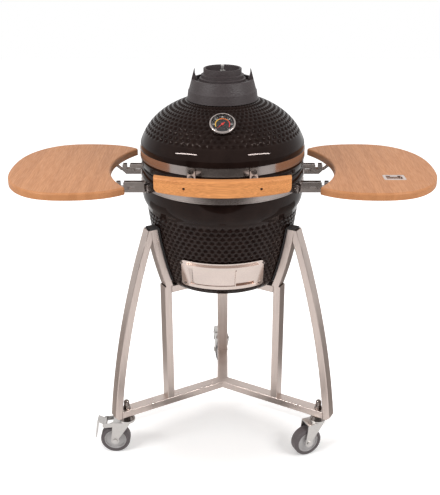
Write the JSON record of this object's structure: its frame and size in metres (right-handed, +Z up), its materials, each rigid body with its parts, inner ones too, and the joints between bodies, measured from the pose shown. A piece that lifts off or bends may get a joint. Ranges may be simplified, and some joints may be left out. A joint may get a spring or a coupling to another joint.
{
  "type": "kamado ceramic grill",
  "caption": "Ceramic kamado grill on a three-legged caster stand, with a hinged domed lid, vent wheel, ash door and fold-down bamboo shelves.",
  "frame": {"origin": "on the floor, under the ceramic's upright axis", "axes": "+Z up; +X to the right along both shelves when facing the handle; -Y towards the cook, where the handle, thermometer and ash door are"},
  "size_m": [1.082, 0.6428, 1.028],
  "materials": {
    "ceramic": "gloss",
    "fire_clay": "matte",
    "gasket": "matte",
    "bamboo": "satin",
    "stainless": "satin",
    "cast_iron": "matte",
    "bright_steel": "polished",
    "zinc": "satin",
    "dial": "satin",
    "needle": "satin",
    "clear_glass": "gloss",
    "rubber": "matte",
    "tyre": "matte",
    "hub": "satin",
    "spindle": "polished"
  },
  "bodies": {
    "grill": {"base_shell": "ceramic", "base_gasket": "gasket", "fire_box": "fire_clay", "fire_ring": "fire_clay", "charcoal_grate": "cast_iron", "lower_band": "bright_steel", "lower_band_bolts": "zinc", "hinge_base": "stainless", "hinge_pin": "zinc", "shelf_arms_left": "stainless", "shelf_arms_right": "stainless", "ash_frame": "bright_steel", "ash_screws": "zinc", "outer_legs": "stainless", "uprights": "stainless", "cradle_arms": "stainless", "lower_spokes": "stainless", "upper_spokes": "stainless", "cradle_pads": "rubber", "end_plugs": "rubber", "caster_stems": "zinc"},
    "lid": {"lid_shell": "ceramic", "chimney_collar": "ceramic", "lid_gasket": "gasket", "upper_band": "bright_steel", "upper_band_bolts": "zinc", "handle_brackets": "bright_steel", "handle_bar": "bamboo", "handle_screws": "zinc", "vent_cap": "cast_iron", "vent_spindle": "spindle", "gauge_bezel": "bright_steel", "gauge_dial": "dial", "gauge_glass": "clear_glass", "gauge_stem": "zinc", "hinge_arm": "stainless"},
    "wheel_vent": {"vent_wheel": "cast_iron"},
    "needle": {"gauge_needle": "needle"},
    "grid": {"cooking_grid": "bright_steel"},
    "ash_slider": {"ash_door": "stainless"},
    "ash_mesh": {"ash_screen": "stainless"},
    "side_shelf_left": {"shelf_hooks_left": "stainless", "shelf_left": "bamboo"},
    "side_shelf_right": {"shelf_hooks_right": "stainless", "shelf_right": "bamboo", "opener": "bright_steel"},
    "swivel_left": {"caster_fork_left": "zinc", "caster_axle_left": "zinc"},
    "caster_wheel_left": {"caster_hub_left": "hub", "caster_tyre_left": "tyre"},
    "brake_left": {"caster_brake_left": "zinc"},
    "swivel_right": {"caster_fork_right": "zinc", "caster_axle_right": "zinc"},
    "caster_wheel_right": {"caster_hub_right": "hub", "caster_tyre_right": "tyre"},
    "swivel_rear": {"caster_fork_rear": "zinc", "caster_axle_rear": "zinc"},
    "caster_wheel_rear": {"caster_hub_rear": "hub", "caster_tyre_rear": "tyre"},
    "brake_rear": {"caster_brake_rear": "zinc"}
  },
  "joints": [
    {"name": "lid_hinge", "type": "hinge", "parent": "grill", "child": "lid", "pos_m": [0, 0.238, 0.79], "axis": [-1, 0, 0], "range_deg": [0, 80]},
    {"name": "vent_turn", "type": "hinge", "parent": "lid", "child": "wheel_vent", "pos_m": [0, 0, 1], "axis": [0, 0, 1], "range_deg": [0, 45]},
    {"name": "needle_turn", "type": "hinge", "parent": "lid", "child": "needle", "pos_m": [0, -0.15, 0.91393], "axis": [0, -0.5736, 0.8192], "range_deg": [-270, 0], "stiffness_Nm_per_rad": 0.001},
    {"name": "grid_lift", "type": "slide", "parent": "grill", "child": "grid", "axis": [0, 0, 1], "range_m": [0, 0.05]},
    {"name": "ash_door_slide", "type": "hinge", "parent": "grill", "child": "ash_slider", "pos_m": [0, 0, 0.53], "axis": [0, 0, 1], "range_deg": [0, 15]},
    {"name": "ash_screen_slide", "type": "hinge", "parent": "grill", "child": "ash_mesh", "pos_m": [0, 0, 0.53], "axis": [0, 0, 1], "range_deg": [0, 15]},
    {"name": "left_shelf_fold", "type": "hinge", "parent": "grill", "child": "side_shelf_left", "pos_m": [-0.238, 0, 0.7375], "axis": [0, -1, 0], "range_deg": [0, 90]},
    {"name": "right_shelf_fold", "type": "hinge", "parent": "grill", "child": "side_shelf_right", "pos_m": [0.238, 0, 0.7375], "axis": [0, 1, 0], "range_deg": [0, 90]},
    {"name": "swivel_left_turn", "type": "hinge", "parent": "grill", "child": "swivel_left", "pos_m": [-0.25894, -0.1495, 0.1], "axis": [0, 0, 1], "continuous": true},
    {"name": "wheel_left_roll", "type": "hinge", "parent": "swivel_left", "child": "caster_wheel_left", "pos_m": [-0.29294, -0.1495, 0.04], "axis": [0, -1, 0], "continuous": true},
    {"name": "brake_left_press", "type": "hinge", "parent": "swivel_left", "child": "brake_left", "pos_m": [-0.31894, -0.1495, 0.088], "axis": [0, -1, 0], "range_deg": [0, 12]},
    {"name": "swivel_right_turn", "type": "hinge", "parent": "grill", "child": "swivel_right", "pos_m": [0.25894, -0.1495, 0.1], "axis": [0, 0, 1], "continuous": true},
    {"name": "wheel_right_roll", "type": "hinge", "parent": "swivel_right", "child": "caster_wheel_right", "pos_m": [0.22788, -0.16333, 0.04], "axis": [0.4067, -0.9135, 0], "continuous": true},
    {"name": "swivel_rear_turn", "type": "hinge", "parent": "grill", "child": "swivel_rear", "pos_m": [0, 0.299, 0.1], "axis": [0, 0, 1], "continuous": true},
    {"name": "wheel_rear_roll", "type": "hinge", "parent": "swivel_rear", "child": "caster_wheel_rear", "pos_m": [-0.0059, 0.33248, 0.04], "axis": [-0.9848, -0.1736, 0], "continuous": true},
    {"name": "brake_rear_press", "type": "hinge", "parent": "swivel_rear", "child": "brake_rear", "pos_m": [-0.01042, 0.35809, 0.088], "axis": [-0.9848, -0.1736, 0], "range_deg": [0, 12]}
  ]
}
